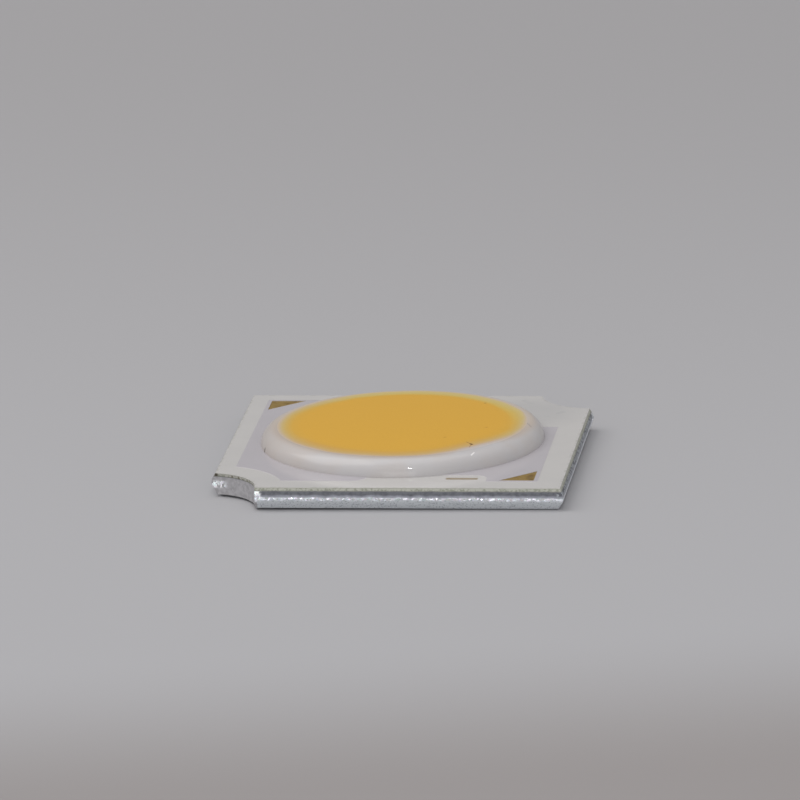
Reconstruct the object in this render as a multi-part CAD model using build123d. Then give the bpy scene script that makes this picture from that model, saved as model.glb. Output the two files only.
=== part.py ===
from build123d import *
import math
import os

os.makedirs("parts", exist_ok=True)

# A chip-on-board LED: aluminium board, copper artwork, white mask, silicone dam and phosphor fill.
# Millimetres. The origin is at the middle of the underside, +Z up, +X to the right along the front edge.

# Score lines and corner notches
board_pitch = 20.0
score_half_angle = 30.0
top_score_depth = 0.40
bottom_score_depth = 0.55
notch_radius = 3.0

# The artwork and the drilled notches sit slightly off the score lines
artwork_shift_x = -0.19
artwork_shift_y = 0.13

# Layers, from the bottom up
plate_thickness = 1.0
film_thickness = 0.04
laminate_thickness = 0.12
copper_thickness = 0.035
mask_thickness = 0.04
mask_over_copper = 0.025
mask_side = 0.04

# Copper artwork, drawn about its own centre
copper_border = 1.5
notch_to_copper = 1.6
electrode_gap = 0.75
electrode_gap_x = -0.685
negative_end_y = 2.85
trace_corner_radius = 0.8

# Solder pads and polarity marks
pad_leg = 1.95
pad_inset = 0.14
mark_length = 1.77
mark_width = 0.38
plus_length = 1.05
mark_to_pad = 1.20
mark_to_edge = 0.33
mark_to_copper = 0.57
mark_window_radius = 0.7

# Round cavity with its bonding ledge
cavity_to_copper_edge = 2.75
ledge_setback = 0.10
ledge_width = 1.35
ledge_end_angle = 60.0
cavity_to_mask = 1.20

# Silicone dam, dispensed along the edge of the mask and slightly off the artwork's centre
dam_shift_x = 0.10
dam_shift_y = 0.07
crest_to_mask = 0.08
crest_to_inner_foot = 0.72
crest_to_outer_foot = 0.95
crest_flat = 0.10
dam_height = 0.976

# Phosphor fill
dome_rise = 0.15

# LED dies in series rows: how far out the last row lies, as a share of the cavity's radius,
# and how wide a die is, as a share of the rows' pitch
row_count = 6
dies_per_row = 6
outer_row_share = 0.674
die_width_share = 0.58
die_length = 0.75
die_thickness = 0.15
die_to_wall = 0.30
glue_thickness = 0.02

# Gold bond wires, drawn four-sided to keep so many small pieces light
wire_width = 0.03
wire_rise = 0.14
wire_foot = 0.03
wire_pad_inset = 0.07

# Levels
laminate_base = plate_thickness + film_thickness
laminate_top = laminate_base + laminate_thickness
copper_top = laminate_top + copper_thickness
mask_top = laminate_top + mask_thickness
raised_mask_top = copper_top + mask_over_copper
crest_z = mask_top + dam_height
glue_top = plate_thickness + glue_thickness
die_top = glue_top + die_thickness

# Places worked out from the sizes
half_copper = board_pitch / 2 - copper_border
cavity_radius = half_copper - cavity_to_copper_edge
ledge_radius = cavity_radius + ledge_setback
mask_opening_radius = cavity_radius + cavity_to_mask
pad_corner = half_copper - pad_inset
mark_end_x = pad_corner - pad_leg - mark_to_pad
mark_x = mark_end_x - mark_length / 2
mark_y = mark_to_edge + mark_width / 2 - half_copper
positive_front_x = electrode_gap_x - electrode_gap / 2
negative_front_x = electrode_gap_x + electrode_gap / 2
crest_radius = mask_opening_radius + crest_to_mask
crest_inner_radius = crest_radius - crest_flat / 2
crest_outer_radius = crest_radius + crest_flat / 2
dam_inner_radius = crest_radius - crest_to_inner_foot
dam_outer_radius = crest_radius + crest_to_outer_foot
row_pitch = 2 * outer_row_share * cavity_radius / (row_count - 1)
die_width = die_width_share * row_pitch
dam_nearest = dam_inner_radius - math.hypot(dam_shift_x, dam_shift_y)
ledge_bond_radius = (ledge_radius + dam_nearest) / 2
artwork = Pos(artwork_shift_x, artwork_shift_y)
dam_centre = artwork * Pos(dam_shift_x, dam_shift_y)
half_turn = Rot(0, 0, 180)


def raise_sheet(sketch, low, high):
    """Extrude a flat outline from one level up to another."""
    return extrude(Pos(0, 0, low) * sketch, amount=high - low)


def slice_between(solid, low, high):
    """Keep the layer of a solid that lies between two levels."""
    reach = 2 * board_pitch
    return solid & Pos(0, 0, (low + high) / 2) * Box(reach, reach, high - low)


def corner_circles(radius):
    """Circles about the two drilled corners, front left and back right."""
    corner = Pos(board_pitch / 2, board_pitch / 2)
    back_right = corner * Circle(radius)
    front_left = half_turn * back_right
    return artwork * (front_left + back_right)


def scored_board():
    """Board cell snapped out along its V-scores: a ridge half way up, and two corner notches."""
    square = Rectangle(board_pitch, board_pitch)
    ridge_high = mask_top - top_score_depth
    below = Pos(0, 0, bottom_score_depth) * square
    above = Pos(0, 0, ridge_high) * square
    lower = extrude(below, amount=-bottom_score_depth, taper=score_half_angle)
    ridge = raise_sheet(square, bottom_score_depth, ridge_high)
    upper = extrude(above, amount=top_score_depth, taper=score_half_angle)
    return lower + ridge + upper - raise_sheet(corner_circles(notch_radius), 0, mask_top)


def mark_window():
    """Window without copper round the minus mark, open to the front edge of the artwork."""
    right = mark_end_x + mark_to_copper
    top = mark_y + mark_width / 2 + mark_to_copper
    width = right - positive_front_x
    height = 2 * (top + half_copper)
    window = Pos(right - width / 2, -half_copper) * Rectangle(width, height)
    return fillet(window.vertices().group_by(Axis.Y)[-1], mark_window_radius)


def positive_outline():
    """Positive electrode: the back left pad, the left side and the stretch round the front left notch."""
    outline = make_face(Polyline(
        (-half_copper, -half_copper),
        (positive_front_x, -half_copper),
        (positive_front_x, 0),
        (-negative_front_x, 0),
        (-negative_front_x, half_copper),
        (-half_copper, half_copper),
        (-half_copper, -half_copper)))
    front_end = outline.vertices().sort_by_distance((positive_front_x, -half_copper))[0]
    outline = fillet(front_end, trace_corner_radius)
    outline = outline - half_turn * mark_window() - Circle(ledge_radius)
    return artwork * outline - corner_circles(notch_radius + notch_to_copper)


def negative_outline():
    """Negative electrode: the front right pad, the right side and an arc of bonding ledge."""
    side = make_face(Polyline(
        (negative_front_x, -half_copper),
        (half_copper, -half_copper),
        (half_copper, negative_end_y),
        (negative_front_x, negative_end_y),
        (negative_front_x, -half_copper)))
    ledge_outer = ledge_radius + ledge_width
    reach = 2 * ledge_outer
    ledge_end = math.radians(ledge_end_angle)
    wedge = make_face(Polyline(
        (0, 0),
        (reach, 0),
        (reach * math.cos(ledge_end), reach * math.sin(ledge_end)),
        (0, 0)))
    ledge_arc = Circle(ledge_outer) & wedge
    return artwork * (side - mark_window() + ledge_arc - Circle(ledge_radius))


def pad_triangle():
    """Right triangle of bare copper at the front right corner of the artwork."""
    return make_face(Polyline(
        (pad_corner, -pad_corner),
        (pad_corner, pad_leg - pad_corner),
        (pad_corner - pad_leg, -pad_corner),
        (pad_corner, -pad_corner)))


def row_places():
    """Offset of each row of dies from the artwork's centre, front to back."""
    first = -(row_count - 1) / 2 * row_pitch
    return [first + index * row_pitch for index in range(row_count)]


def die_places(row_y):
    """Places of one row's dies, spread evenly over the chord of the cavity."""
    half_chord = math.sqrt(cavity_radius ** 2 - (abs(row_y) + die_width / 2) ** 2)
    last = half_chord - die_to_wall - die_length / 2
    step = 2 * last / (dies_per_row - 1)
    return [-last + index * step for index in range(dies_per_row)]


def row_of_blocks(row_y, length, width, low, high):
    """Equal blocks at the places of one row's dies."""
    block = Pos(0, 0, (low + high) / 2) * Box(length, width, high - low)
    return [artwork * Pos(x, row_y) * block for x in die_places(row_y)]


def bond_wire(start, end, row_y):
    """Wire that rises straight from its first bond, slopes down and lands on its second."""
    start_x, start_z = start
    end_x, end_z = end
    path = Polyline(
        (start_x, row_y, start_z),
        (start_x, row_y, start_z + wire_rise),
        (end_x, row_y, end_z + wire_foot),
        (end_x, row_y, end_z))
    section = Plane(origin=(start_x, row_y, start_z), z_dir=(0, 0, 1)) * Rectangle(wire_width, wire_width)
    return artwork * sweep(section, path=path, transition=Transition.RIGHT)


def row_wires(row_y):
    """Wires of one row: ledge to first die, die to die, and last die to the other ledge."""
    ledge_x = math.sqrt(ledge_bond_radius ** 2 - row_y ** 2)
    pad_x = die_length / 2 - wire_pad_inset
    dies = die_places(row_y)
    wires = [bond_wire((dies[0] - pad_x, die_top), (-ledge_x, copper_top), row_y)]
    for left, right in zip(dies, dies[1:]):
        wires.append(bond_wire((left + pad_x, die_top), (right - pad_x, die_top), row_y))
    wires.append(bond_wire((dies[-1] + pad_x, die_top), (ledge_x, copper_top), row_y))
    return wires


def revolved(closed_line):
    """Turn a closed half section, drawn in radius and height, about the dam's centre."""
    return dam_centre * revolve(Plane.XZ * make_face(closed_line), axis=Axis.Z)


def dam_bead():
    """Dispensed bead of white silicone, before the board's relief is taken out of its underside."""
    straight = Polyline(
        (crest_outer_radius, crest_z),
        (crest_inner_radius, crest_z),
        (dam_inner_radius, mask_top),
        (dam_inner_radius, laminate_top),
        (dam_outer_radius, laminate_top),
        (dam_outer_radius, raised_mask_top))
    shoulder_width = dam_outer_radius - crest_outer_radius
    shoulder_height = crest_z - raised_mask_top
    shoulder = EllipticalCenterArc(
        (crest_outer_radius, raised_mask_top), shoulder_width, shoulder_height, start_angle=0, arc_size=90)
    return revolved([straight, shoulder])


def fill_pour():
    """Round pour of phosphor silicone with a low dome, from the mirror floor to the dam's crest."""
    top = crest_z + dome_rise
    dome_radius = (crest_inner_radius ** 2 + dome_rise ** 2) / (2 * dome_rise)
    dome_angle = math.degrees(math.asin(crest_inner_radius / dome_radius))
    side = Polyline(
        (0, top),
        (0, plate_thickness),
        (dam_inner_radius, plate_thickness),
        (dam_inner_radius, mask_top),
        (crest_inner_radius, crest_z))
    dome = CenterArc((0, top - dome_radius), dome_radius, 90 - dome_angle, dome_angle)
    return revolved([side, dome])


# Board: plate, film and laminate are slices of one scored cell
board = scored_board()
cavity = artwork * Circle(cavity_radius)
base_plate = slice_between(board, 0, plate_thickness)
bonding_film = slice_between(board, plate_thickness, laminate_base) - raise_sheet(cavity, 0, mask_top)
laminate = slice_between(board, laminate_base, laminate_top) - raise_sheet(cavity, 0, mask_top)

# Copper artwork
positive = positive_outline()
negative = negative_outline()
minus = artwork * Pos(mark_x, mark_y) * Rectangle(mark_length, mark_width)
plus_place = artwork * half_turn * Pos(mark_x, mark_y)
plus = plus_place * (Rectangle(plus_length, mark_width) + Rectangle(mark_width, plus_length))
positive_trace = raise_sheet(positive, laminate_top, copper_top)
negative_trace = raise_sheet(negative, laminate_top, copper_top)
minus_mark = raise_sheet(minus, laminate_top, copper_top)
plus_mark = raise_sheet(plus, laminate_top, copper_top)
copper = [positive_trace, negative_trace, minus_mark, plus_mark]

# Solder mask: level on the laminate, raised where it runs over the electrodes
mask_opening = artwork * Circle(mask_opening_radius)
pads = artwork * (pad_triangle() + half_turn * pad_triangle())
openings = raise_sheet(mask_opening + pads + minus + plus, laminate_top, 2 * mask_top)
raised = [raise_sheet(offset(outline, mask_side), laminate_top, raised_mask_top) for outline in (positive, negative)]
solder_mask = slice_between(board, laminate_top, mask_top) + raised - copper - openings

# Silicone dam, seated on the mask, the bare ledge and the laminate
dam_ring = dam_bead() - [solder_mask, positive_trace, negative_trace]

# Rows of dies on the mirror floor, with their glue and wires
dies = {}
glue = {}
wires = {}
for number, row_y in enumerate(row_places(), start=1):
    dies[number] = row_of_blocks(row_y, die_length, die_width, glue_top, die_top)
    glue[number] = row_of_blocks(row_y, die_length, die_width, plate_thickness, glue_top)
    wires[number] = row_wires(row_y)

# Phosphor fill, poured over all of them
buried = [solid for group in (dies, glue, wires) for row in group.values() for solid in row]
phosphor_fill = fill_pour() - [bonding_film, laminate, positive_trace, negative_trace] - buried

nodes = {
    "base_plate": [base_plate],
    "bonding_film": [bonding_film],
    "laminate": [laminate],
    "positive_trace": [positive_trace],
    "negative_trace": [negative_trace],
    "minus_mark": [minus_mark],
    "plus_mark": [plus_mark],
    "solder_mask": [solder_mask],
    "dam_ring": [dam_ring],
    "phosphor_fill": [phosphor_fill],
}
for number in dies:
    nodes[f"die_row_{number}"] = dies[number]
    nodes[f"die_glue_row_{number}"] = glue[number]
    nodes[f"bond_wires_row_{number}"] = wires[number]

for name, solids in nodes.items():
    export_step(Compound(children=solids), f"parts/{name}.step")
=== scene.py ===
"""Studio looks for a chip-on-board LED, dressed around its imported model."""

import logging
import math
from dataclasses import dataclass
from enum import Enum
from functools import reduce
from typing import Callable, List, Optional, Sequence, Tuple

import bmesh
import bpy
from mathutils import Matrix, Vector


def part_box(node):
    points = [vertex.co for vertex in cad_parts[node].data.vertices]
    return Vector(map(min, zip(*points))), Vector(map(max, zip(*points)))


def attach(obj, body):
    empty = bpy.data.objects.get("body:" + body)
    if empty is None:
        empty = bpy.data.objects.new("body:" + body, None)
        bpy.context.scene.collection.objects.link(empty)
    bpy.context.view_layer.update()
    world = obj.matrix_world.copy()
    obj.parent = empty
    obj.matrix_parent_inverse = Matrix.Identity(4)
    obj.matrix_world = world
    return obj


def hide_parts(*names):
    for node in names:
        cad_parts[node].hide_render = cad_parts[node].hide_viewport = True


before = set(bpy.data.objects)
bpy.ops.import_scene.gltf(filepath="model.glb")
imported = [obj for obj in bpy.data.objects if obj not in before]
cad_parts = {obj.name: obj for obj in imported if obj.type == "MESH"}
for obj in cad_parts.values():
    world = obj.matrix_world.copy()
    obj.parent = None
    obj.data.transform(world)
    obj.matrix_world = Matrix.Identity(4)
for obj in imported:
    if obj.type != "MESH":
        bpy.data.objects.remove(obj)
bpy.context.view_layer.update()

Colour = Tuple[float, float, float, float]
Point = Tuple[float, float, float]
Spot = Tuple[float, float]
Span = Tuple[float, float]
Socket = bpy.types.NodeSocket

MM = 0.001
ZERO = (0.0, 0.0, 0.0)
MASK_THICKNESS = 0.04
NOTCH_CENTRES = ((-10.19, -9.87), (9.81, 10.13))
NOTCH_TIPS = (
    ((-9.86, -6.90), 0.95, 0.74),
    ((-7.19, -10.00), 0.48, 1.05),
    ((10.00, 7.14), 0.50, 1.05),
    ((6.81, 10.00), 0.50, 1.05),
)
TIP_SPOT = ((-9.76, -6.96), (-9.71, -6.94), 0.24)
# middle of a painted shade on the mask at its far right corner
PAINTED_SHADE_CENTRE = (6.5, 6.4)
LIGHT_CENTRE = (-0.09, 0.20)
DENT_PLACE = (4.55, -4.40)
DENT_SPAN = (0.3, 3.2)
DENT_DEPTH = 0.38
log = logging.getLogger("led_chip")


class Facing(Enum):
    """Which pair of the board's sides is worked on, by the axis that the sides face along."""

    LEFT_AND_RIGHT = 0
    FRONT_AND_BACK = 1


def paint(red: float, green: float, blue: float) -> Colour:
    """Turn a colour read from 0 to 255 into the linear colour that a shader takes.

    Args:
        red: Red, 0 to 255.
        green: Green, 0 to 255.
        blue: Blue, 0 to 255.

    Returns:
        The linear colour with full alpha.
    """
    def linear(value: float) -> float:
        """Undo the display curve for one channel."""
        level = value / 255.0
        return level / 12.92 if level <= 0.04045 else ((level + 0.055) / 1.055) ** 2.4

    return linear(red), linear(green), linear(blue), 1.0


@dataclass(frozen=True)
class Mark:
    """Soft stroke on a finish, in millimetres, with the share of its colour that shows."""

    start: Spot
    end: Spot
    width: float
    share: float
    colour: Colour


class Graph:
    """Node tree of one finish, with short ways to add nodes and join them."""

    def __init__(self, name: str) -> None:
        """Start a material with a Principled shader and the object's own coordinates.

        Args:
            name: The material's name.
        """
        self.material = bpy.data.materials.new(name)
        self.material.use_nodes = True
        self.tree = self.material.node_tree
        self.shader = self.tree.nodes["Principled BSDF"]
        self.place = self.add("ShaderNodeTexCoord").outputs["Object"]
        self.axes = self.add("ShaderNodeSeparateXYZ", self.place).outputs

    def add(self, kind: str, *values: object, **settings: object) -> bpy.types.Node:
        """Add a node, set its plain properties and feed its first sockets.

        Args:
            kind: The node's type name.
            *values: What its sockets take, in their order.
            **settings: Properties by name.

        Returns:
            The new node.
        """
        node = self.tree.nodes.new(kind)
        for name, value in settings.items():
            setattr(node, name, value)
        for socket, value in zip(node.inputs, values):
            self.feed(socket, value)
        return node

    def feed(self, socket: Socket, value: object) -> None:
        """Join an output to a socket, or set the socket to a plain value.

        Args:
            socket: The socket that takes it.
            value: An output or a plain value.
        """
        if isinstance(value, Socket):
            self.tree.links.new(value, socket)
        else:
            socket.default_value = value

    def set(self, **values: object) -> None:
        """Set or join sockets of the Principled shader, named with _ for a space."""
        for name, value in values.items():
            self.feed(self.shader.inputs[name.replace("_", " ")], value)

    def axis(self, name: str) -> Socket:
        """Give the X, Y or Z of the place on the object, in metres."""
        return self.axes[name]

    def sum(self, operation: str, first: object, second: object = 0.0) -> Socket:
        """Work out one Math operation on two values."""
        return self.add("ShaderNodeMath", first, second, operation=operation).outputs[0]

    def times(self, first: object, second: object) -> Socket:
        """Multiply two values."""
        return self.sum("MULTIPLY", first, second)

    def fold(self, operation: str, values: Sequence[object]) -> Socket:
        """Work one Math operation through a row of values, one after the other."""
        return reduce(lambda first, second: self.sum(operation, first, second), values)

    def vector(self, operation: str, first: object, second: object = ZERO) -> Socket:
        """Work out one sum on two vectors and give the vector."""
        return self.add("ShaderNodeVectorMath", first, second, operation=operation).outputs["Vector"]

    def length(self, value: object) -> Socket:
        """Give the length of a vector."""
        return self.add("ShaderNodeVectorMath", value, operation="LENGTH").outputs["Value"]

    def step(
        self, value: object, low: float, high: float, start: float = 0.0, end: float = 1.0
    ) -> Socket:
        """Ease from the start level, at the low limit and before, to the end level past the high one."""
        kind = "ShaderNodeMapRange"
        return self.add(kind, value, low, high, start, end, interpolation_type="SMOOTHSTEP").outputs[0]

    def across(self, value: object, span: Span, start: float = 0.0, end: float = 1.0) -> Socket:
        """Ease a length from one level to another across a span in millimetres."""
        return self.step(value, span[0] * MM, span[1] * MM, start, end)

    def stretched(self, scale: Point) -> Socket:
        """Give the place with each axis stretched."""
        return self.add("ShaderNodeMapping", self.place, ZERO, ZERO, scale).outputs[0]

    def noise(self, grain: float, detail: float, place: object = None) -> Socket:
        """Add a cloudy noise with features of a size in millimetres and some finer layers of detail."""
        where = self.place if place is None else place
        return self.add("ShaderNodeTexNoise", where, 0.0, 1.0 / (grain * MM), detail).outputs[0]

    def cells(self, grain: float) -> Socket:
        """Add crystal-like cells of a size in millimetres, and give each cell's own colour."""
        return self.add("ShaderNodeTexVoronoi", self.place, 0.0, 1.0 / (grain * MM)).outputs["Color"]

    def upward(self, height: object) -> Socket:
        """Give an upright vector of a height."""
        return self.add("ShaderNodeCombineXYZ", 0.0, 0.0, height).outputs[0]

    def facets(self, grain: float, tilt: object, under: object) -> Socket:
        """Lean a normal a different way in each crystal-like cell.

        Args:
            grain: Size of the cells in millimetres.
            tilt: How far a cell may lean; about half of it is the tangent of the widest angle.
            under: The normal that is leant.

        Returns:
            The leant normal's output.
        """
        lean = self.vector("SUBTRACT", self.cells(grain), (0.5, 0.5, 0.5))
        scaled = self.add("ShaderNodeVectorMath", lean, operation="SCALE")
        self.feed(scaled.inputs["Scale"], tilt)
        return self.vector("NORMALIZE", self.vector("ADD", under, scaled.outputs["Vector"]))

    def mix(self, share: object, first: object, second: object) -> Socket:
        """Mix two colours.

        Args:
            share: How much of the second, 0 to 1.
            first: The colour underneath.
            second: The colour on top.

        Returns:
            The mixed colour's output.
        """
        node = self.add("ShaderNodeMix", share, data_type="RGBA")
        self.feed(node.inputs[6], first)
        self.feed(node.inputs[7], second)
        return node.outputs[2]

    def ramp(self, value: object, stops: Sequence[Tuple[float, Colour]]) -> Socket:
        """Colour a value by stops.

        Args:
            value: The value that is read.
            stops: Places and colours, in rising order of place.

        Returns:
            The colour's output.
        """
        first, last = stops[0][0], stops[-1][0]
        spread = self.add("ShaderNodeMapRange", value, first, last)
        node = self.add("ShaderNodeValToRGB", spread.outputs[0])
        marks = node.color_ramp.elements
        while len(marks) < len(stops):
            marks.new(0.5)
        for mark, (place, colour) in zip(marks, stops):
            mark.position = (place - first) / (last - first)
            mark.color = colour
        return node.outputs[0]

    def bump(self, height: object, depth: float, strength: float) -> Socket:
        """Turn a height into a bumped normal.

        Args:
            height: The height, 0 to 1.
            depth: What a height of 1 stands for, in millimetres.
            strength: How much of it shows.

        Returns:
            The normal's output.
        """
        node = self.add("ShaderNodeBump")
        node.inputs["Strength"].default_value = strength
        node.inputs["Distance"].default_value = depth * MM
        self.feed(node.inputs["Height"], height)
        return node.outputs[0]

    def stroke(self, start: Spot, end: Spot, width: float) -> Socket:
        """Draw one soft stroke, seen from above, between two places in millimetres.

        Args:
            start: X and Y of one end.
            end: X and Y of the other end.
            width: Width of the stroke.

        Returns:
            1 along the stroke, easing to 0 at its edge.
        """
        first = Vector((start[0] * MM, start[1] * MM, 0.0))
        along = Vector((end[0] * MM, end[1] * MM, 0.0)) - first
        flat = self.vector("MULTIPLY", self.place, (1.0, 1.0, 0.0))
        offset = self.vector("SUBTRACT", flat, tuple(first))
        unit = tuple(along / along.length_squared)
        dot = self.add("ShaderNodeVectorMath", offset, unit, operation="DOT_PRODUCT").outputs["Value"]
        share = self.add("ShaderNodeMath", dot, 1.0, operation="MULTIPLY", use_clamp=True).outputs[0]
        carried = self.add("ShaderNodeVectorMath", tuple(along), operation="SCALE")
        self.feed(carried.inputs["Scale"], share)
        distance = self.length(self.vector("SUBTRACT", offset, carried.outputs["Vector"]))
        return self.across(distance, (0.15 * width, 0.6 * width), 1.0, 0.0)

    def draw(self, marks: Sequence[Mark], under: object) -> Socket:
        """Draw marks on a colour, one over the other.

        Args:
            marks: The marks, lowest first.
            under: The colour that they lie on.

        Returns:
            The marked colour's output.
        """
        for mark in marks:
            share = self.times(self.stroke(mark.start, mark.end, mark.width), mark.share)
            under = self.mix(share, under, mark.colour)
        return under

    def away_from(self, centre: Spot) -> Socket:
        """Give the distance from an upright axis through a place in millimetres, in metres."""
        flat = self.vector("MULTIPLY", self.place, (1.0, 1.0, 0.0))
        return self.length(self.vector("SUBTRACT", flat, (centre[0] * MM, centre[1] * MM, 0.0)))

    def near_notches(self, rim: Span) -> List[Socket]:
        """Give for each notch 1 at its wall and 0 beyond a rim."""
        return [self.across(self.away_from(centre), rim, 1.0, 0.0) for centre in NOTCH_CENTRES]

    def from_light(self) -> Socket:
        """Give the distance from the light area's middle, read wider where the bead lies further in."""
        dent = self.across(self.away_from(DENT_PLACE), DENT_SPAN, DENT_DEPTH * MM, 0.0)
        return self.sum("ADD", self.away_from(LIGHT_CENTRE), dent)


@dataclass(frozen=True)
class ScoredAluminium:
    """Plate metal with ground score flanks and a sparkling snapped ridge half way up.

    The notch walls are plain, and torn where they run out in thin tips.
    """

    ridge_foot: Span = (0.46, 0.54)
    ridge_top: Span = (0.61, 0.71)
    brow_top: Span = (0.70, 0.87)
    notch_rim: Span = (3.10, 3.16)
    tip_foot: Span = (0.30, 0.50)
    cross_faces: Span = (9.55, 9.70)
    ridge_wander: float = 0.16
    facet: float = 0.11
    cross_dulling: float = 0.55
    metal: float = 0.30
    ridge_metal: float = 0.20
    rough: float = 0.52
    ridge_polish: float = 0.25
    lower: Colour = paint(217, 221, 224)
    pit: Colour = paint(168, 173, 178)
    # painted shade: the upper score flank, of the same metal as the lower one, is painted dark
    shaded_upper: Colour = paint(90, 91, 97)
    brow: Colour = paint(172, 173, 184)
    ridge: Colour = paint(240, 243, 248)
    wall: Colour = paint(186, 184, 186)
    dent: Colour = paint(160, 158, 160)

    def make(self) -> bpy.types.Material:
        """Build the material."""
        graph = Graph("scored_aluminium")
        wander = graph.times(graph.sum("SUBTRACT", graph.noise(0.45, 3.0), 0.5), self.ridge_wander * MM)
        height = graph.sum("ADD", graph.axis("Z"), wander)
        below = graph.across(height, self.ridge_top, 1.0, 0.0)
        clear = [graph.across(graph.away_from(centre), self.notch_rim) for centre in NOTCH_CENTRES]
        outside = graph.fold("MULTIPLY", clear)
        crosswise = graph.across(graph.sum("ABSOLUTE", graph.axis("X")), self.cross_faces)
        dull = graph.sum("SUBTRACT", 1.0, graph.times(crosswise, self.cross_dulling))
        band = graph.times(graph.across(height, self.ridge_foot), below)
        snapped = graph.times(band, graph.times(outside, dull))
        tips = self.torn_tips(graph)
        shine = graph.sum("MAXIMUM", snapped, tips)
        flank = graph.mix(below, self.upper_flank(graph, height, crosswise), self.lower_flank(graph))
        wall = graph.mix(graph.step(graph.noise(0.24, 4.0), 0.38, 0.66, 0.0, 0.75), self.wall, self.dent)
        bright = graph.mix(0.12, self.ridge, graph.cells(self.facet))
        graph.set(
            Base_Color=graph.mix(shine, graph.mix(outside, wall, flank), bright),
            Metallic=graph.sum("ADD", self.metal, graph.times(shine, self.ridge_metal)),
            Roughness=graph.sum("SUBTRACT", self.rough, graph.times(shine, self.ridge_polish)),
        )
        grain = graph.bump(graph.noise(0.05, 3.0), 0.014, 0.6)
        rolled = graph.sum("ADD", graph.times(snapped, 0.20), graph.times(tips, 0.80))
        surface = graph.vector("ADD", grain, graph.upward(rolled))
        graph.set(Normal=graph.facets(self.facet, shine, surface))
        return graph.material

    def torn_tips(self, graph: Graph) -> Socket:
        """Give the broken patches at the thin tips of the notch walls, 0 to 1.

        Args:
            graph: The finish's node tree.

        Returns:
            The output.
        """
        torn = []
        for centre, reach, top in NOTCH_TIPS:
            near = graph.across(graph.away_from(centre), (0.45 * reach, reach), 1.0, 0.0)
            under = graph.across(graph.axis("Z"), (top - 0.06, top + 0.12), 1.0, 0.0)
            torn.append(graph.times(near, under))
        broken = graph.times(graph.fold("MAXIMUM", torn), graph.step(graph.noise(0.20, 3.0), 0.36, 0.50))
        return graph.times(broken, graph.across(graph.axis("Z"), self.tip_foot))

    def lower_flank(self, graph: Graph) -> Socket:
        """Colour the lower score flank: bright, with pits and upright grinding lines.

        Args:
            graph: The finish's node tree.

        Returns:
            The output.
        """
        speck = graph.noise(0.10, 3.0)
        streak = graph.noise(0.07, 3.0, graph.stretched((0.16, 0.16, 1.0)))
        ground = graph.mix(graph.step(speck, 0.50, 0.72), self.lower, self.pit)
        return graph.mix(graph.step(streak, 0.50, 0.75, 0.0, 0.40), ground, self.pit)

    def upper_flank(self, graph: Graph, height: object, crosswise: object) -> Socket:
        """Colour the upper score flank: painted dark as shade, paler just over the ridge, and mottled on
        two sides.

        Args:
            graph: The finish's node tree.
            height: The wandering height on the plate's side.
            crosswise: 1 on the left and right sides, 0 on the others.

        Returns:
            The flank's colour.
        """
        # painted shade on the upper flank, easing paler just over the ridge
        graded = graph.mix(graph.across(height, self.brow_top, 1.0, 0.0), self.shaded_upper, self.brow)
        share = graph.sum("ADD", 0.12, graph.times(crosswise, 0.78))
        mottle = graph.times(share, graph.step(graph.noise(0.22, 4.0), 0.38, 0.58))
        return graph.mix(mottle, graded, self.pit)


@dataclass(frozen=True)
class PaleLaminate:
    """Cut edge of the insulating laminate: pale green-beige with dull chips, charred in the notches."""

    foot: Span = (1.03, 1.16)
    notch_rim: Span = (3.02, 3.12)
    body: Colour = paint(176, 176, 165)
    chip: Colour = paint(142, 144, 130)
    drilled: Colour = paint(178, 176, 168)
    char: Colour = paint(104, 96, 78)
    spot: Colour = paint(70, 62, 50)

    def make(self) -> bpy.types.Material:
        """Build the material."""
        graph = Graph("pale_laminate")
        low = graph.across(graph.axis("Z"), self.foot, 0.10, 0.0)
        chips = graph.step(graph.sum("ADD", graph.noise(0.13, 4.0), low), 0.48, 0.66)
        cut = graph.fold("MAXIMUM", graph.near_notches(self.notch_rim))
        body = graph.mix(cut, self.body, self.drilled)
        charred = graph.times(cut, graph.step(graph.noise(0.20, 5.0), 0.52, 0.64, 0.0, 0.8))
        chipped = graph.mix(charred, graph.mix(chips, body, self.chip), self.char)
        graph.set(Base_Color=graph.mix(graph.stroke(*TIP_SPOT), chipped, self.spot), Roughness=0.62)
        graph.set(Normal=graph.bump(graph.noise(0.07, 3.0), 0.02, 0.6))
        return graph.material


@dataclass(frozen=True)
class BondingFilm:
    """Adhesive film under the laminate, a dark line between plate and laminate."""

    body: Colour = paint(132, 132, 126)
    dark: Colour = paint(112, 112, 112)

    def make(self) -> bpy.types.Material:
        """Build the material."""
        graph = Graph("bonding_film")
        clouds = graph.step(graph.noise(0.3, 3.0), 0.40, 0.62)
        graph.set(Base_Color=graph.mix(clouds, self.body, self.dark), Roughness=0.55)
        return graph.material


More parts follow.
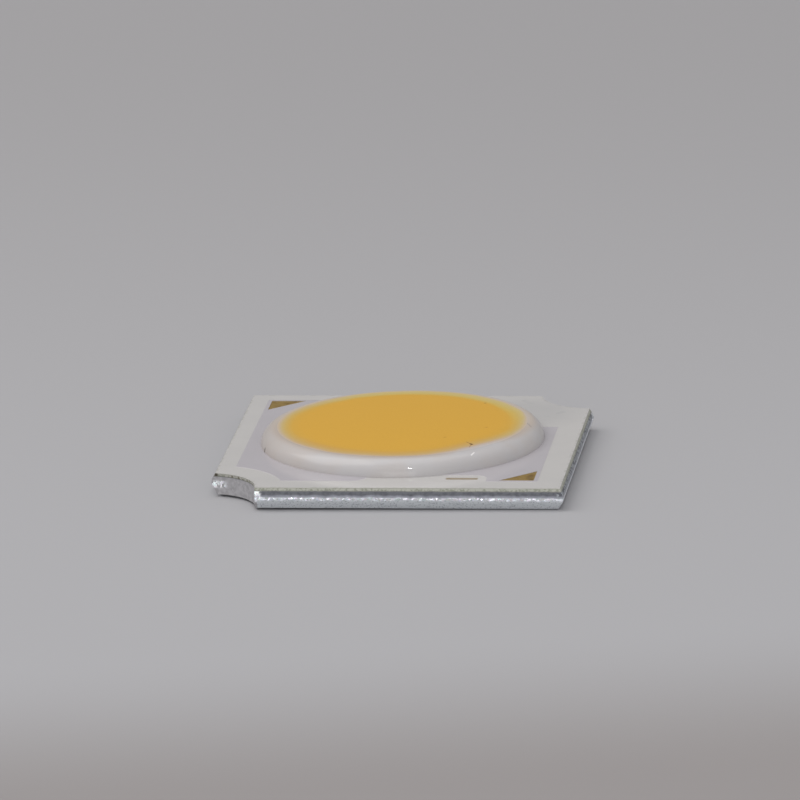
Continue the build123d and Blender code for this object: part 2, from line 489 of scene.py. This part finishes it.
@dataclass(frozen=True)
class WhiteMask:
    """Semi-gloss white mask: warm on bare laminate and greyer where it runs over copper.

    Its cut rim has crumbs, and at the far right corner it has faint grey strokes and a painted shade.
    """

    climb: Span = (1.2012, 1.2190)
    cut_face: Span = (1.175, 1.199)
    border: Span = (9.58, 9.76)
    notch_rim: Span = (3.02, 3.20)
    # painted shade at the far right corner: its reach and its share of the grey
    painted_shade_span: Span = (1.0, 4.4)
    painted_shade_share: float = 0.20
    grey_strokes: Tuple[Tuple[Spot, Spot, float], ...] = (
        ((7.50, 5.30), (8.32, 6.33), 0.55),
        ((5.95, 8.75), (7.35, 7.15), 0.70),
    )
    on_laminate: Colour = paint(198, 195, 192)
    on_copper: Colour = paint(184, 179, 183)
    cloud: Colour = paint(150, 150, 152)
    edge: Colour = paint(160, 160, 148)
    grey_stroke: Colour = paint(138, 140, 146)
    spot: Colour = paint(96, 88, 74)

    def make(self) -> bpy.types.Material:
        """Build the material."""
        graph = Graph("white_mask")
        cloud = graph.noise(2.2, 3.0)
        base = graph.mix(graph.across(graph.axis("Z"), self.climb), self.on_laminate, self.on_copper)
        clouded = graph.mix(graph.step(cloud, 0.35, 0.7, 0.0, 0.07), base, self.cloud)
        edged = graph.mix(self.rim(graph), clouded, self.edge)
        marks = graph.fold("MAXIMUM", [graph.stroke(*grey_stroke) for grey_stroke in self.grey_strokes])
        faded = graph.times(marks, graph.step(graph.noise(1.40, 1.0), 0.34, 0.62, 0.08, 0.30))
        # painted shade: the mask is painted darker round its far right corner, beside the dam
        painted_shade = graph.across(graph.away_from(PAINTED_SHADE_CENTRE), self.painted_shade_span, self.painted_shade_share, 0.0)
        # the same grey paints the faint strokes and the painted shade
        streaked_and_shaded = graph.mix(graph.sum("MAXIMUM", faded, painted_shade), edged, self.grey_stroke)
        graph.set(
            Base_Color=graph.mix(graph.times(graph.stroke(*TIP_SPOT), 0.7), streaked_and_shaded, self.spot),
            Roughness=graph.step(cloud, 0.3, 0.7, 0.09, 0.13),
        )
        graph.set(Normal=graph.bump(graph.noise(0.8, 2.0), 0.002, 0.5))
        return graph.material

    def rim(self, graph: Graph) -> Socket:
        """Give the mask's cut face and the crumbs along its border, 0 to 1.

        Args:
            graph: The finish's node tree.

        Returns:
            The output.
        """
        cut = graph.across(graph.axis("Z"), self.cut_face, 1.0, 0.0)
        side = graph.fold("MAXIMUM", [graph.sum("ABSOLUTE", graph.axis(name)) for name in "XY"])
        near = graph.near_notches(self.notch_rim)
        border = graph.fold("MAXIMUM", [graph.across(side, self.border)] + near)
        crumbs = graph.times(border, graph.step(graph.noise(0.30, 5.0), 0.44, 0.66, 0.0, 0.50))
        return graph.sum("MAXIMUM", cut, crumbs)


@dataclass(frozen=True)
class BareCopper:
    """Bare copper with a dull brown-gold finish and darker stains."""

    name: str = "bare_copper"
    body: Colour = paint(151, 124, 64)
    stain: Colour = paint(114, 88, 34)

    def make(self) -> bpy.types.Material:
        """Build the material."""
        graph = Graph(self.name)
        stains = graph.step(graph.noise(0.55, 4.0), 0.45, 0.75)
        graph.set(
            Base_Color=graph.mix(stains, self.body, self.stain),
            Metallic=0.35,
            Roughness=graph.step(graph.noise(0.2, 2.0), 0.3, 0.7, 0.42, 0.60),
        )
        graph.set(Normal=graph.bump(graph.noise(0.08, 3.0), 0.006, 0.5))
        return graph.material


@dataclass(frozen=True)
class DamSilicone:
    """Glossy white silicone of the dam, a little pink at the crest, with a dark speck at its foot;
    painted shade lies on its left end and seam crease, painted light on its far crest, and one painted
    glint.
    """

    rim: Span = (7.00, 7.50)
    widening: Span = (-5.0, 4.0)
    wider_by: float = 0.30
    left_shade_span: Span = (-8.0, -2.0)
    far_half: Span = (-3.0, 3.0)
    speck_top: Span = (1.45, 1.55)
    body: Colour = paint(191, 188, 188)
    blush: Colour = paint(190, 183, 179)
    crest: Colour = paint(186, 172, 160)
    painted_lit_crest: Colour = paint(198, 185, 172)
    speck: Colour = paint(90, 84, 70)
    marks: Tuple[Mark, ...] = (
        # painted shade in the crease where the bead's two ends meet, on its right side
        Mark((6.95, 0.30), (7.22, -0.28), 0.12, 0.6, paint(150, 142, 136)),
        # painted highlight: a small bright glint on the bead's near right crest
        Mark((4.46, -5.82), (4.59, -5.56), 0.09, 0.7, paint(246, 242, 240)),
    )

    def make(self) -> bpy.types.Material:
        """Build the material."""
        graph = Graph("dam_silicone")
        cloud = graph.step(graph.noise(1.6, 2.0), 0.35, 0.7, 0.0, 0.6)
        wider = graph.across(graph.axis("Y"), self.widening, 0.0, self.wider_by * MM)
        outside = graph.across(graph.sum("SUBTRACT", graph.from_light(), wider), self.rim)
        # painted shade: the bead's left end is painted darker, mixed towards the crest's tint
        painted_left_shade = graph.across(graph.axis("X"), self.left_shade_span, 0.45, 0.0)
        plain = graph.mix(painted_left_shade, graph.mix(cloud, self.body, self.blush), self.crest)
        # painted light: the crest is painted lighter on the bead's far half
        crest = graph.mix(graph.across(graph.axis("Y"), self.far_half), self.crest, self.painted_lit_crest)
        body = graph.draw(self.marks, graph.mix(outside, crest, plain))
        spot = graph.stroke((-7.64, -2.66), (-7.56, -2.60), 0.22)
        low = graph.across(graph.axis("Z"), self.speck_top, 1.0, 0.0)
        graph.set(
            Base_Color=graph.mix(graph.times(spot, low), body, self.speck),
            Roughness=0.50,
            Coat_Weight=0.60,
            Coat_Roughness=0.075,
            Coat_IOR=1.42,
        )
        graph.set(Normal=graph.bump(graph.noise(0.9, 2.0), 0.006, 0.4))
        return graph.material


@dataclass(frozen=True)
class PhosphorSilicone:
    """Yellow phosphor in silicone: deep in the middle, lemon and then pinkish white at the thin rim.

    A bent hair and a few dark specks lie in it.
    """

    shades: Tuple[Tuple[float, Colour], ...] = (
        (5.60, paint(214, 165, 60)),
        (6.15, paint(210, 165, 66)),
        (6.50, paint(202, 169, 92)),
        (6.75, paint(197, 174, 121)),
        (6.95, paint(193, 176, 153)),
        (7.10, paint(192, 179, 169)),
        (7.24, paint(193, 186, 182)),
    )
    wander: float = 0.24
    thin_rise: Span = (5.7, 6.3)
    thin_fall: Span = (6.35, 6.90)
    thin_depth: float = 0.26
    back_part: Span = (1.5, 5.5)
    ring_start: Span = (5.9, 6.25)
    ring_end: Span = (6.85, 7.05)
    right_back: Span = (1.0, 6.0)
    front_part: Span = (-4.5, -1.5)
    lemon: Colour = paint(208, 193, 106)
    warm: Colour = paint(200, 151, 92)
    spot: Colour = paint(186, 128, 42)
    marks: Tuple[Mark, ...] = (
        Mark((3.99, -3.89), (4.26, -4.24), 0.09, 0.55, paint(126, 84, 38)),
        Mark((4.26, -4.24), (4.33, -4.33), 0.19, 0.95, paint(84, 50, 24)),
        Mark((4.31, -4.36), (4.25, -4.86), 0.08, 0.45, paint(126, 84, 38)),
        Mark((4.13, 4.43), (4.15, 4.45), 0.16, 0.6, paint(84, 50, 24)),
        Mark((2.67, -3.10), (2.71, -3.06), 0.20, 0.50, spot),
        Mark((4.76, -0.92), (4.80, -0.88), 0.20, 0.50, spot),
    )

    def make(self) -> bpy.types.Material:
        """Build the material."""
        graph = Graph("phosphor_silicone")
        wander = graph.times(graph.sum("SUBTRACT", graph.noise(1.5, 2.0), 0.5), self.wander * MM)
        plain = graph.sum("ADD", graph.from_light(), wander)
        rising = graph.across(plain, self.thin_rise)
        falling = graph.across(plain, self.thin_fall, self.thin_depth * MM, 0.0)
        behind = graph.across(graph.axis("Y"), self.back_part)
        radius = graph.sum("ADD", plain, graph.times(behind, graph.times(rising, falling)))
        body = graph.ramp(radius, tuple((place * MM, colour) for place, colour in self.shades))
        inside = graph.across(plain, self.ring_end, 1.0, 0.0)
        ring = graph.times(graph.across(plain, self.ring_start), inside)
        along = graph.sum("ADD", graph.axis("Y"), graph.times(graph.axis("X"), 0.4))
        right_back = graph.across(along, self.right_back, 0.0, 0.34)
        front = graph.across(graph.axis("Y"), self.front_part, 0.28, 0.0)
        lemon = graph.mix(graph.times(ring, right_back), body, self.lemon)
        warm = graph.mix(graph.times(ring, front), lemon, self.warm)
        fine = graph.noise(0.09, 3.0)
        surface = graph.mix(graph.step(fine, 0.42, 0.78, 0.0, 0.14), warm, self.spot)
        graph.set(
            Base_Color=graph.draw(self.marks, surface),
            Roughness=0.50,
            Specular_IOR_Level=0.22,
        )
        graph.set(Normal=graph.bump(fine, 0.010, 0.6))
        return graph.material


@dataclass(frozen=True)
class PlainPart:
    """Finish of a piece that the fill hides: a body colour clouded with a second."""

    name: str
    body: Colour
    cloud: Colour
    metal: float
    rough: float

    def make(self) -> bpy.types.Material:
        """Build the material."""
        graph = Graph(self.name)
        graph.set(
            Base_Color=graph.mix(graph.step(graph.noise(0.15, 3.0), 0.35, 0.7), self.body, self.cloud),
            Metallic=self.metal,
            Roughness=self.rough,
        )
        return graph.material


@dataclass(frozen=True)
class StudioPaper:
    """Pale grey table, painted with a pool of light: brightest round the object, a little darker far off
    and close to the camera.
    """

    slant: float = 0.2
    fading: Span = (-30.0, 110.0)
    front_part: Span = (-63.0, -36.0)
    near: Colour = paint(175, 174, 176)
    far: Colour = paint(164, 162, 163)
    front: Colour = paint(152, 147, 146)

    def make(self) -> bpy.types.Material:
        """Build the material."""
        graph = Graph("studio_paper")
        depth = graph.sum("SUBTRACT", graph.axis("Y"), graph.times(graph.axis("X"), self.slant))
        # painted light: brighter round the object, darker far off
        behind = graph.mix(graph.across(graph.axis("Y"), self.fading), self.near, self.far)
        # painted falloff of light towards the camera
        close = graph.across(depth, self.front_part, 1.0, 0.0)
        graph.set(Base_Color=graph.mix(close, behind, self.front), Roughness=0.75)
        return graph.material


class Bench:
    """Modelling bench: one piece at a time, in millimetres, shaped with edit-mode operators."""

    def __init__(self, name: str) -> None:
        """Clear the selection, so that the next primitive is worked on alone.

        Args:
            name: The finished piece's name.
        """
        self.name = name
        bpy.ops.object.select_all(action="DESELECT")
        self.piece: Optional[bpy.types.Object] = None

    def take(self) -> None:
        """Take the primitive just added and go into edit mode."""
        self.piece = bpy.context.active_object
        self.piece.name = self.name
        bpy.ops.object.transform_apply(location=True, rotation=True, scale=True)
        bpy.ops.object.mode_set(mode="EDIT")

    def take_copy(self, node: str) -> None:
        """Copy a CAD node's mesh, joined up and in millimetres, and go into edit mode.

        Args:
            node: The node's name.
        """
        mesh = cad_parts[node].data.copy()
        mesh.materials.clear()
        self.piece = bpy.data.objects.new(self.name, mesh)
        bpy.context.scene.collection.objects.link(self.piece)
        bpy.context.view_layer.objects.active = self.piece
        self.piece.select_set(True)
        bpy.ops.object.mode_set(mode="EDIT")
        bpy.ops.mesh.select_all(action="SELECT")
        bpy.ops.mesh.remove_doubles(threshold=1e-7)
        bpy.ops.transform.resize(value=(1 / MM,) * 3, center_override=(0.0, 0.0, 0.0))
        bpy.ops.mesh.dissolve_limited(angle_limit=math.radians(0.4))

    def select_faces(self, test: Callable[[Vector, Vector], bool]) -> int:
        """Select the faces whose middle and normal pass a test, and nothing else.

        Args:
            test: Takes a face's middle and its normal.

        Returns:
            How many faces are selected.
        """
        bpy.ops.mesh.select_mode(type="FACE")
        bpy.ops.mesh.select_all(action="DESELECT")
        shape = bmesh.from_edit_mesh(self.piece.data)
        count = 0
        for face in shape.faces:
            if test(face.calc_center_median(), face.normal):
                face.select_set(True)
                count += 1
        bmesh.update_edit_mesh(self.piece.data)
        return count

    def select_edges(self, test: Callable[[Vector, Vector], bool]) -> None:
        """Select the edges whose two ends pass a test, and nothing else.

        Args:
            test: Takes the places of an edge's two ends.
        """
        bpy.ops.mesh.select_mode(type="EDGE")
        bpy.ops.mesh.select_all(action="DESELECT")
        for edge in bmesh.from_edit_mesh(self.piece.data).edges:
            if test(edge.verts[0].co, edge.verts[1].co):
                edge.select_set(True)
        bmesh.update_edit_mesh(self.piece.data)

    def select_points(self, test: Callable[[Vector], bool]) -> None:
        """Select the points that pass a test, and nothing else.

        Args:
            test: Takes a point's place.
        """
        bpy.ops.mesh.select_mode(type="VERT")
        bpy.ops.mesh.select_all(action="DESELECT")
        for point in bmesh.from_edit_mesh(self.piece.data).verts:
            if test(point.co):
                point.select_set(True)
        bmesh.update_edit_mesh(self.piece.data)

    def leave(self) -> None:
        """Turn the normals outwards and leave edit mode."""
        bpy.ops.mesh.select_all(action="SELECT")
        bpy.ops.mesh.normals_make_consistent(inside=False)
        bpy.ops.object.mode_set(mode="OBJECT")

    def group(self, name: str, weight: Callable[[Vector], float]) -> None:
        """Give each point a weight in a vertex group.

        Args:
            name: The group's name.
            weight: Takes a point and gives its weight, 0 to 1.
        """
        made = self.piece.vertex_groups.new(name=name)
        for point in self.piece.data.vertices:
            made.add([point.index], weight(point.co), "REPLACE")

    def roughen(self, group: str, grain: float, depth: float, middle: float = 1.0) -> None:
        """Displace a group of points along their normals by a noise, and apply it.

        Args:
            group: The vertex group.
            grain: Size of the noise in millimetres.
            depth: How far a full step of noise moves a point.
            middle: The noise level that leaves a point where it is.
        """
        texture = bpy.data.textures.new(f"{self.name}_{group}", type="CLOUDS")
        texture.noise_scale = grain
        change = self.piece.modifiers.new("roughen", "DISPLACE")
        change.texture = texture
        change.texture_coords = "LOCAL"
        change.strength = depth
        change.mid_level = middle
        change.vertex_group = group
        bpy.ops.object.modifier_apply(modifier=change.name)

    def finish(
        self, node: str, material: bpy.types.Material, smooth: float
    ) -> bpy.types.Object:
        """Bring the piece to metres, smooth it, and hand it over in place of a CAD node.

        Args:
            node: The CAD node that it stands for.
            material: The finish.
            smooth: Largest angle in degrees that is shaded smooth.

        Returns:
            The finished piece.
        """
        bpy.ops.object.mode_set(mode="EDIT")
        bpy.ops.mesh.select_all(action="SELECT")
        bpy.ops.transform.resize(value=(MM,) * 3, center_override=(0.0, 0.0, 0.0))
        bpy.ops.object.mode_set(mode="OBJECT")
        bpy.ops.object.shade_smooth_by_angle(angle=math.radians(smooth))
        self.piece.vertex_groups.clear()
        self.piece.data.materials.clear()
        self.piece.data.materials.append(material)
        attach(self.piece, "root")
        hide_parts(node)
        self.piece.select_set(False)
        log.info("%s: %d faces for %s", self.name, len(self.piece.data.polygons), node)
        return self.piece


@dataclass
class SnappedPlate:
    """Aluminium plate with ground score flanks and a rough snapped ridge."""

    pitch: float = 0.10
    levels: Tuple[float, ...] = (0.18, 0.36, 0.61, 0.675, 0.74, 0.9)
    ridge_low: float = 0.55
    ridge_high: float = 0.80
    ridge_grain: float = 0.11
    ridge_depth: float = 0.07
    ridge_middle: float = 0.9
    flank_band: Span = (0.02, 0.98)
    flank_grain: float = 0.16
    flank_depth: float = 0.012
    margin: float = 0.02
    reach: float = 10.0
    smooth: float = 28.0

    def build(self, material: bpy.types.Material) -> bpy.types.Object:
        """Model the plate from the CAD plate's own outline.

        Args:
            material: The plate's finish.

        Returns:
            The finished piece.
        """
        bench = Bench("snapped_plate")
        bench.take_copy("base_plate")
        for facing in (Facing.FRONT_AND_BACK, Facing.LEFT_AND_RIGHT):
            self.cut_sides(bench, facing)
        for level in self.levels:
            bench.select_faces(lambda middle, normal: abs(normal.z) < 0.9)
            bpy.ops.mesh.bisect(plane_co=(0.0, 0.0, level), plane_no=(0.0, 0.0, 1.0))
        bench.leave()
        low, high = self.flank_band
        bench.group("ridge", self.ridge_weight)
        bench.group("flank", lambda point: 1.0 if low < point.z < high else 0.0)
        bench.roughen("ridge", self.ridge_grain, self.ridge_depth, self.ridge_middle)
        bench.roughen("flank", self.flank_grain, self.flank_depth)
        return bench.finish("base_plate", material, self.smooth)

    def cut_sides(self, bench: Bench, facing: Facing) -> None:
        """Cut one pair of sides into upright strips.

        Args:
            bench: The bench that holds the plate.
            facing: The pair of sides.
        """
        steps = int(2 * self.reach / self.pitch)
        normal = (1.0, 0.0, 0.0) if facing is Facing.FRONT_AND_BACK else (0.0, 1.0, 0.0)
        for index in range(1, steps):
            offset = -self.reach + index * self.pitch
            found = bench.select_faces(
                lambda middle, out: abs(out.z) < 0.9 and abs(out[facing.value]) > 0.6)
            if found:
                plane = tuple(offset * part for part in normal)
                bpy.ops.mesh.bisect(plane_co=plane, plane_no=normal)

    def ridge_weight(self, point: Vector) -> float:
        """Weigh a point by whether it lies on the snapped ridge, which the notch walls don't have.

        Args:
            point: The point's place.

        Returns:
            Its weight, 1 or 0.
        """
        on_band = self.ridge_low - self.margin <= point.z <= self.ridge_high + self.margin
        at_side = max(abs(point.x), abs(point.y)) > self.reach - self.margin
        return 1.0 if on_band and at_side else 0.0


@dataclass
class DispensedDam:
    """Bead of white silicone, laid in one turn and closed on itself."""

    sink: float = 0.02
    rim_radius: float = 6.98
    crest_flat: float = 0.10
    around: int = 256
    across: int = 40
    shoulder: float = 0.15
    shoulder_width: float = 0.4
    foot_height: float = 0.3
    swell_grain: float = 2.6
    swell_depth: float = 0.04
    tolerance: float = 1e-4
    smooth: float = 60.0

    def build(self, material: bpy.types.Material) -> bpy.types.Object:
        """Model the bead from a torus, cut level at the board.

        Args:
            material: The bead's finish.

        Returns:
            The finished piece.
        """
        low, high = (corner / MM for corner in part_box("dam_ring"))
        centre = (low + high) / 2
        board = mask_level()
        foot = (high.x - low.x) / 2
        crest = self.rim_radius + self.crest_flat / 2
        width = foot - crest
        height = high.z - board
        bench = Bench("dispensed_dam")
        bpy.ops.mesh.primitive_torus_add(
            location=(centre.x, centre.y, board), major_radius=crest, minor_radius=width,
            major_segments=self.around, minor_segments=self.across)
        bench.take()
        bpy.ops.mesh.select_all(action="SELECT")
        bpy.ops.transform.resize(
            value=(1.0, 1.0, height / width), center_override=(centre.x, centre.y, board))
        cut = board - self.sink
        bpy.ops.mesh.bisect(plane_co=(0.0, 0.0, cut), plane_no=(0.0, 0.0, 1.0), clear_inner=True)
        bench.select_edges(
            lambda one, two: abs(one.z - cut) < self.tolerance and abs(two.z - cut) < self.tolerance)
        bpy.ops.mesh.bridge_edge_loops()
        bench.leave()

        def outer_side(point: Vector) -> float:
            """Weigh a point by how far down the bead's outer side it lies."""
            radius = math.hypot(point.x - centre.x, point.y - centre.y)
            outward = min(1.0, max(0.0, (radius - crest - self.shoulder) / self.shoulder_width))
            return outward * min(1.0, max(0.0, (point.z - board) / self.foot_height))

        bench.group("outer_side", outer_side)
        bench.roughen("outer_side", self.swell_grain, self.swell_depth)
        return bench.finish("dam_ring", material, self.smooth)


@dataclass
class DomedPour:
    """Phosphor pour with a low dome that meets the dam at its crest."""

    rings: int = 14
    around: int = 256
    rise: float = 0.15
    rim_radius: float = 7.03
    foot_radius: float = 6.35
    smooth: float = 40.0

    def build(self, material: bpy.types.Material) -> bpy.types.Object:
        """Model the pour from a cylinder whose top is inset ring by ring into a dome.

        Args:
            material: The pour's finish.

        Returns:
            The finished piece.
        """
        low, high = (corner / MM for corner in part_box("phosphor_fill"))
        dam_low, dam_high = (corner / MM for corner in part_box("dam_ring"))
        centre = (dam_low + dam_high) / 2
        rim = high.z - self.rise
        depth = rim - low.z
        bench = Bench("domed_pour")
        bpy.ops.mesh.primitive_cylinder_add(
            vertices=self.around, radius=self.rim_radius, depth=depth,
            location=(centre.x, centre.y, low.z + depth / 2))
        bench.take()
        bench.select_faces(lambda middle, normal: normal.z < -0.9)
        share = self.foot_radius / self.rim_radius
        bpy.ops.transform.resize(
            value=(share, share, 1.0), center_override=(centre.x, centre.y, low.z))
        bench.select_faces(lambda middle, normal: normal.z > 0.9)
        step = self.rim_radius / (self.rings + 0.5)
        dome = (self.rim_radius ** 2 + self.rise ** 2) / (2 * self.rise)
        before = 0.0
        for index in range(1, self.rings + 1):
            radius = self.rim_radius - index * step
            lift = math.sqrt(dome ** 2 - radius ** 2) - (dome - self.rise)
            bpy.ops.mesh.inset(thickness=step, depth=0.0)
            bpy.ops.transform.translate(value=(0.0, 0.0, lift - before))
            before = lift
        bpy.ops.mesh.poke()
        bench.leave()
        return bench.finish("phosphor_fill", material, self.smooth)


@dataclass
class SoftMask:
    """Solder mask whose steps over the copper edges run out in soft slopes, as ink leaves them."""

    slope: float = 0.08
    tolerance: float = 0.002
    smooth: float = 3.0

    def build(self, material: bpy.types.Material) -> bpy.types.Object:
        """Model the mask from the CAD mask, with the foot of each step drawn outwards.

        Args:
            material: The mask's finish.

        Returns:
            The finished piece.
        """
        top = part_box("solder_mask")[1].z / MM
        board = mask_level()
        bench = Bench("soft_mask")
        bench.take_copy("solder_mask")
        feet = set()
        for edge in bmesh.from_edit_mesh(bench.piece.data).edges:
            low, high = sorted((point.co for point in edge.verts), key=lambda place: place.z)
            upright = (high - low).to_2d().length < self.tolerance
            if upright and abs(high.z - top) < self.tolerance and abs(low.z - board) < self.tolerance:
                feet.add(tuple(low))
        bench.select_points(lambda point: tuple(point) in feet)
        bpy.ops.transform.shrink_fatten(value=self.slope, use_even_offset=True)
        bpy.ops.transform.resize(value=(1.0, 1.0, 0.0), center_override=(0.0, 0.0, board))
        bench.leave()
        return bench.finish("solder_mask", material, self.smooth)


def mask_level() -> float:
    """Give the level of the mask on bare laminate, in millimetres."""
    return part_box("laminate")[1].z / MM + MASK_THICKNESS


@dataclass
class Studio:
    """Table, soft lamps and the camera at the photograph's angle."""

    azimuth: float = 7.066
    elevation: float = 15.251
    roll: float = -1.680
    distance: float = 547.1
    focal_pixels: float = 9747.3
    table_size: float = 3.0
    table_gap: float = 0.095
    table_lean: float = -0.005
    image_side: float = 800.0
    sensor: float = 36.0
    centre_x: float = 403.97
    centre_y: float = 440.95
    target: Point = (0.0, 0.0, 1.2)
    clip: Span = (0.05, 20.0)
    room: Colour = (1.0, 1.0, 1.02, 1.0)
    far_wall: Point = (-0.119, 0.957, 0.264)
    far_wall_edge: Span = (0.55, 0.92)
    room_level: float = 0.525
    far_wall_level: float = 0.275
    lamps: Tuple[Tuple[str, Point, float, float], ...] = (
        ("key_left", (-340.0, -10.0, 490.0), 460.0, 1.32),
        ("top_soft", (20.0, 120.0, 700.0), 500.0, 0.78),
        ("front_low", (40.0, -560.0, 150.0), 260.0, 0.42),
        ("small_front", (100.0, -420.0, 430.0), 24.0, 0.34),
    )

    def build(self) -> None:
        """Set up the table, the lamps, the world and the camera."""
        self.table()
        self.world()
        for name, place, size, power in self.lamps:
            self.lamp(name, place, size, power)
        self.camera()
        bpy.context.scene.view_settings.view_transform = "Standard"

    def table(self) -> None:
        """Lay the pale table under the board, which burrs hold a little off it, more so at its left."""
        bpy.ops.object.select_all(action="DESELECT")
        bpy.ops.mesh.primitive_plane_add(
            size=self.table_size,
            location=(0.0, 0.0, -self.table_gap * MM),
            rotation=(0.0, self.table_lean, 0.0),
        )
        floor = bpy.context.active_object
        floor.name = "table"
        floor.data.materials.append(StudioPaper().make())
        floor.select_set(False)

    def world(self) -> None:
        """Fill the room with pale light that is dimmer towards its far wall."""
        world = bpy.data.worlds.new("studio")
        bpy.context.scene.world = world
        world.use_nodes = True
        back = world.node_tree.nodes["Background"]
        back.inputs["Color"].default_value = self.room
        nodes, links = world.node_tree.nodes, world.node_tree.links
        place = nodes.new("ShaderNodeTexCoord")
        along = nodes.new("ShaderNodeVectorMath")
        along.operation = "DOT_PRODUCT"
        along.inputs[1].default_value = self.far_wall
        fall = nodes.new("ShaderNodeMapRange")
        fall.interpolation_type = "SMOOTHSTEP"
        fall.inputs["From Min"].default_value, fall.inputs["From Max"].default_value = self.far_wall_edge
        fall.inputs["To Min"].default_value = self.room_level
        fall.inputs["To Max"].default_value = self.far_wall_level
        links.new(place.outputs["Generated"], along.inputs[0])
        links.new(along.outputs["Value"], fall.inputs["Value"])
        links.new(fall.outputs["Result"], back.inputs["Strength"])

    def lamp(self, name: str, place: Point, size: float, power: float) -> None:
        """Hang one square soft lamp that looks at the board.

        Args:
            name: The lamp's name.
            place: Its place in millimetres.
            size: Its side in millimetres.
            power: Its power in watts.
        """
        light = bpy.data.lights.new(name, "AREA")
        light.shape = "SQUARE"
        light.size = size * MM
        light.energy = power
        lamp = bpy.data.objects.new(name, light)
        bpy.context.scene.collection.objects.link(lamp)
        lamp.location = Vector(place) * MM
        lamp.rotation_euler = (-lamp.location).to_track_quat("-Z", "Y").to_euler()

    def camera(self) -> None:
        """Place the camera where the photograph was taken from."""
        turn = math.radians(self.azimuth)
        tilt = math.radians(self.elevation)
        roll = math.radians(self.roll)
        level = math.cos(tilt)
        back = Vector((math.sin(turn) * level, -math.cos(turn) * level, math.sin(tilt)))
        flat = Vector((math.cos(turn), math.sin(turn), 0.0))
        upright = back.cross(flat)
        right = flat * math.cos(roll) + upright * math.sin(roll)
        up = upright * math.cos(roll) - flat * math.sin(roll)
        target = Vector(self.target)
        place = target + back * self.distance
        reach = self.distance / self.focal_pixels
        half = self.image_side / 2
        aim = target - right * (self.centre_x - half) * reach + up * (self.centre_y - half) * reach
        back = (place - aim).normalized()
        right = up.cross(back).normalized()
        up = back.cross(right)
        data = bpy.data.cameras.new("camera")
        data.sensor_width = self.sensor
        data.lens = self.focal_pixels * self.sensor / self.image_side
        data.clip_start, data.clip_end = self.clip
        camera = bpy.data.objects.new("camera", data)
        bpy.context.scene.collection.objects.link(camera)
        turned = Matrix((right, up, back)).transposed().to_4x4()
        camera.matrix_world = Matrix.Translation(place * MM) @ turned
        bpy.context.scene.camera = camera


def dress(nodes: Sequence[str], material: bpy.types.Material) -> None:
    """Give CAD nodes that stay as they are their finish.

    Args:
        nodes: The nodes' names.
        material: The finish.
    """
    for name in nodes:
        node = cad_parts[name]
        node.data.materials.clear()
        node.data.materials.append(material)
        log.info("%s: %s", name, material.name)


def rows_of(prefix: str) -> Sequence[str]:
    """List the CAD nodes of one kind of row."""
    return sorted(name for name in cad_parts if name.startswith(prefix))


def main() -> None:
    """Build and dress every piece, and set up the studio."""
    logging.basicConfig(level=logging.INFO, format="%(name)s: %(message)s")
    SnappedPlate().build(ScoredAluminium().make())
    DispensedDam().build(DamSilicone().make())
    DomedPour().build(PhosphorSilicone().make())
    dress(["laminate"], PaleLaminate().make())
    dress(["bonding_film"], BondingFilm().make())
    SoftMask().build(WhiteMask().make())
    dress(["positive_trace", "negative_trace"], BareCopper().make())
    worn = BareCopper("worn_copper", paint(167, 153, 132), paint(146, 128, 98))
    dress(["minus_mark", "plus_mark"], worn.make())
    crystal = PlainPart("led_crystal", paint(92, 104, 128), paint(120, 132, 152), 0.3, 0.2)
    dress(rows_of("die_row"), crystal.make())
    glue = PlainPart("die_glue", paint(206, 205, 200), paint(188, 186, 180), 0.0, 0.4)
    dress(rows_of("die_glue"), glue.make())
    gold = PlainPart("gold_wire", paint(226, 184, 96), paint(200, 156, 72), 1.0, 0.25)
    dress(rows_of("bond_wires"), gold.make())
    Studio().build()


if __name__ == "__main__":
    main()
